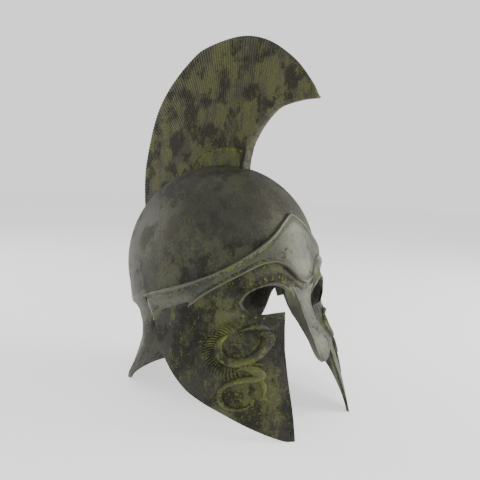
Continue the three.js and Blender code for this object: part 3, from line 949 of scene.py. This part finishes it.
@dataclass
class CrestFoot(Casting):
    """The collar of metal that holds the plume on the crown."""

    arch: tuple[Pair, ...] = (
        (-74.5, 97), (-64, 103.5), (-41, 113.5), (-20, 117), (-6, 114), (10, 105), (24, 95),
    )
    base: Pair = (-62, 23)
    half: float = 6.8
    rings: int = 110
    levels: int = 26

    def build(self) -> None:
        """Rolls the collar from its front to its tail."""
        top = spline(self.arch, self.rings)
        y = np.linspace(*self.base, self.rings + 1)
        dome = self.skin.height * np.sqrt(1 - (y / self.skin.half_length) ** 2)
        low = np.stack([y, dome - 1.8], axis=1)
        part = np.linspace(0, 1, self.levels)
        tall = np.linalg.norm(top - low, axis=1)[:, None]
        from_top = tall * (1 - part)[None, :]
        lip = 0.7 * ridge(from_top, 1.3, 0.9) - 0.45 * ridge(from_top, 3.6, 1.0)
        curl = np.sqrt(np.clip(1 - (1 - np.minimum(from_top, 1.2) / 1.2) ** 2, 0.2, 1))
        spread = 1.6 * np.exp(-tall * part[None, :] / 3.5)
        x = (self.half + lip + spread) * curl
        yz = low[:, None] + (top - low)[:, None] * part[None, :, None]
        one = np.concatenate([x[..., None], yz], axis=-1)
        piece = self.foundry.tube("crest_collar", np.concatenate([one, one[:, ::-1] * [-1, 1, 1]], axis=1))
        self.foundry.finish(piece, edge=0.5, passes=8)
        self.settle(piece, FOOT_PATINA, "crest_foot", "foot_bronze")


# ---------------------------------------------------------------------------------------------
# Studio
# ---------------------------------------------------------------------------------------------


@dataclass
class Studio:
    """A pale floor, soft lights and the camera."""

    skin: Skin
    eye: Colour = (-374.58, -387.77, -65.96)
    right: Colour = (0.692841, -0.686284, -0.221326)
    up: Colour = (0.046455, -0.263814, 0.963454)
    ahead: Colour = (0.719592, 0.677802, 0.150899)
    lens: float = 37.5
    floor_size: float = 12
    surround: float = 0.4
    backdrop: float = 1.3
    floor_glow: float = 0.9
    # Name, place, size, power and tint of each soft light, in metres and watts.
    lights: tuple[tuple[str, Colour, float, float, Colour], ...] = field(default=(
        ("front_softbox", (1.0, -0.95, 0.55), 0.9, 22, (1.0, 0.99, 0.96)),
        ("back_softbox", (-0.55, 1.2, 0.55), 0.8, 7, (1.0, 0.98, 0.96)),
        ("top_softbox", (0.15, 0.2, 1.6), 0.9, 4, (1, 1, 1)),
        ("camera_fill", (-1.3, -0.7, 1.0), 1.0, 4, (0.97, 0.99, 1.0)),
    ))

    def camera(self) -> None:
        """Places the camera where the helmet is seen from its right front."""
        data = bpy.data.cameras.new("camera")
        data.lens = self.lens
        data.clip_start, data.clip_end = 0.01, 50
        camera = bpy.data.objects.new("camera", data)
        bpy.context.scene.collection.objects.link(camera)
        columns = [self.skin.turned(v) for v in (self.right, self.up, [-a for a in self.ahead])]
        turn = Matrix([list(row) for row in np.array(columns).T]).to_4x4()
        camera.matrix_world = Matrix.Translation(Vector(self.skin.rest(self.eye))) @ turn
        bpy.context.scene.camera = camera

    def light(self) -> None:
        """Hangs the soft lights and sets a white surround."""
        for name, place, size, power, tint in self.lights:
            data = bpy.data.lights.new(name, "AREA")
            data.shape, data.size, data.energy, data.color = "DISK", size, power, tint
            lamp = bpy.data.objects.new(name, data)
            bpy.context.scene.collection.objects.link(lamp)
            lamp.location = place
            aim = Vector((0, 0, 0.17)) - Vector(place)
            lamp.rotation_euler = aim.to_track_quat("-Z", "Y").to_euler()
        world = bpy.data.worlds.new("surround")
        world.use_nodes = True
        nodes, links = world.node_tree.nodes, world.node_tree.links
        backdrop = nodes["Background"]
        backdrop.inputs["Strength"].default_value = self.surround
        seen = nodes.new("ShaderNodeBackground")
        seen.inputs["Color"].default_value = (1, 1, 1, 1)
        seen.inputs["Strength"].default_value = self.backdrop
        backdrop.inputs["Color"].default_value = (1, 1, 1, 1)
        either = nodes.new("ShaderNodeMixShader")
        links.new(nodes.new("ShaderNodeLightPath").outputs["Is Camera Ray"], either.inputs[0])
        links.new(backdrop.outputs[0], either.inputs[1])
        links.new(seen.outputs[0], either.inputs[2])
        links.new(either.outputs[0], nodes["World Output"].inputs[0])
        bpy.context.scene.world = world

    def floor(self) -> None:
        """Lays a pale floor."""
        bpy.ops.object.select_all(action="DESELECT")
        bpy.ops.mesh.primitive_plane_add(size=self.floor_size, location=(0, 0, -0.0002))
        floor = bpy.context.active_object
        floor.name = "floor"
        shop = NodeShop("pale_floor")
        values = {
            "Base Color": (0.9, 0.9, 0.9, 1), "Roughness": 0.8, "Emission Color": (1, 1, 1, 1),
            "Emission Strength": self.floor_glow,
        }
        paint = shop.node("ShaderNodeBsdfPrincipled", {}, values)
        shop.node("ShaderNodeOutputMaterial", {}, {"Surface": paint.outputs[0]})
        floor.data.materials.append(shop.material)


def main() -> None:
    """Builds the helmet's castings and the studio."""
    logging.basicConfig(level=logging.INFO, format="%(name)s: %(message)s")
    skin = Skin()
    foundry = Foundry(skin)
    studio = Studio(skin)
    studio.camera()
    plate = Plate(skin, foundry)
    Bowl(skin, foundry, plate=plate).build()
    for side in Side:
        FaceGuard(skin, foundry, plate=plate, side=side).build()
        Dragon(skin, foundry, side=side).build()
    plate.build()
    NoseGuard(skin, foundry).build()
    CrestFoot(skin, foundry).build()
    Plume(skin, foundry).build()
    studio.light()
    studio.floor()


if __name__ == "__main__":
    main()
